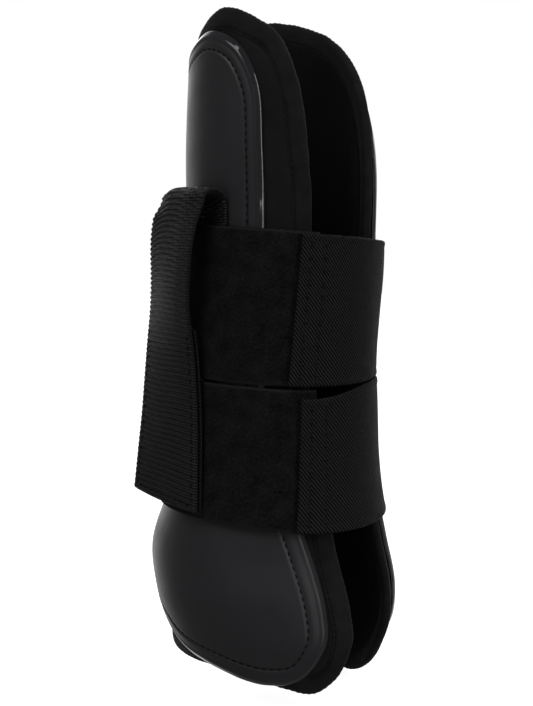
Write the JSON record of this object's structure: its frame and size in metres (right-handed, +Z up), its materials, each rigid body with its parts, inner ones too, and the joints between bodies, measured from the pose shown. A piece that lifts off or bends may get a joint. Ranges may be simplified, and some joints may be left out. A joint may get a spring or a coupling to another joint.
{
  "type": "horse tendon boot",
  "caption": "Open-front leg guard: a moulded shell over a soft lining, closed by elastic hook-and-loop straps that a webbing flap locks down.",
  "frame": {"origin": "on the leg's axis, level with the boot's lowest edge", "axes": "+Z up the leg, +Y towards the back of the leg (the tendon), -Y out of the open front, -X towards the outer side with the lock flap"},
  "size_m": [0.108, 0.1069, 0.2803],
  "materials": {
    "neoprene": "matte jersey-faced neoprene",
    "binding": "matte, stitched",
    "foam": "matte foam",
    "shell": "satin, with a glossy rim",
    "hook_tape": "matte hooks",
    "webbing": "ribbed nylon",
    "elastic": "diagonal twill",
    "loop_pile": "fuzzy pile"
  },
  "bodies": {
    "boot": {"neoprene_lining": "neoprene", "lining_binding": "binding", "strike_pad": "foam", "outer_shell": "shell", "upper_hook_patch": "hook_tape", "lower_hook_patch": "hook_tape", "flap_anchor": "webbing", "flap_fold": "webbing", "upper_elastic_anchor": "elastic", "lower_elastic_anchor": "elastic"},
    "flap": {"lock_flap": "webbing", "lock_flap_hook_tape": "hook_tape"},
    "upper_strap": {"upper_elastic": "elastic"},
    "upper_strap_end": {"upper_elastic_end": "elastic", "upper_tab": "loop_pile"},
    "lower_strap": {"lower_elastic": "elastic"},
    "lower_strap_end": {"lower_elastic_end": "elastic", "lower_tab": "loop_pile"}
  },
  "joints": [
    {"name": "lock_flap_lift", "type": "hinge", "parent": "boot", "child": "flap", "pos_m": [-0.04491, 0.00375, 0.203], "axis": [0.0698, 0.9976, 0], "range_deg": [0, 150], "deforming": ["flap_fold"]},
    {"name": "upper_strap_swing", "type": "hinge", "parent": "boot", "child": "upper_strap", "pos_m": [0.04055, -0.00779, 0.159], "axis": [0, 0, 1], "range_deg": [0, 76]},
    {"name": "upper_tab_peel", "type": "hinge", "parent": "upper_strap", "child": "upper_strap_end", "pos_m": [-0.00784, -0.04364, 0.159], "axis": [0, 0, 1], "range_deg": [0, 69]},
    {"name": "lower_strap_swing", "type": "hinge", "parent": "boot", "child": "lower_strap", "pos_m": [0.04826, -0.00162, 0.102], "axis": [0, 0, 1], "range_deg": [0, 76]},
    {"name": "lower_tab_peel", "type": "hinge", "parent": "lower_strap", "child": "lower_strap_end", "pos_m": [-0.00921, -0.04359, 0.099], "axis": [0, 0, 1], "range_deg": [0, 69]}
  ],
  "couplings": [
    {"joint": "upper_strap_swing", "follows": "lock_flap_lift", "ratio": 0.5},
    {"joint": "upper_tab_peel", "follows": "lock_flap_lift", "ratio": 0.45},
    {"joint": "lower_strap_swing", "follows": "lock_flap_lift", "ratio": 0.5},
    {"joint": "lower_tab_peel", "follows": "lock_flap_lift", "ratio": 0.45}
  ]
}
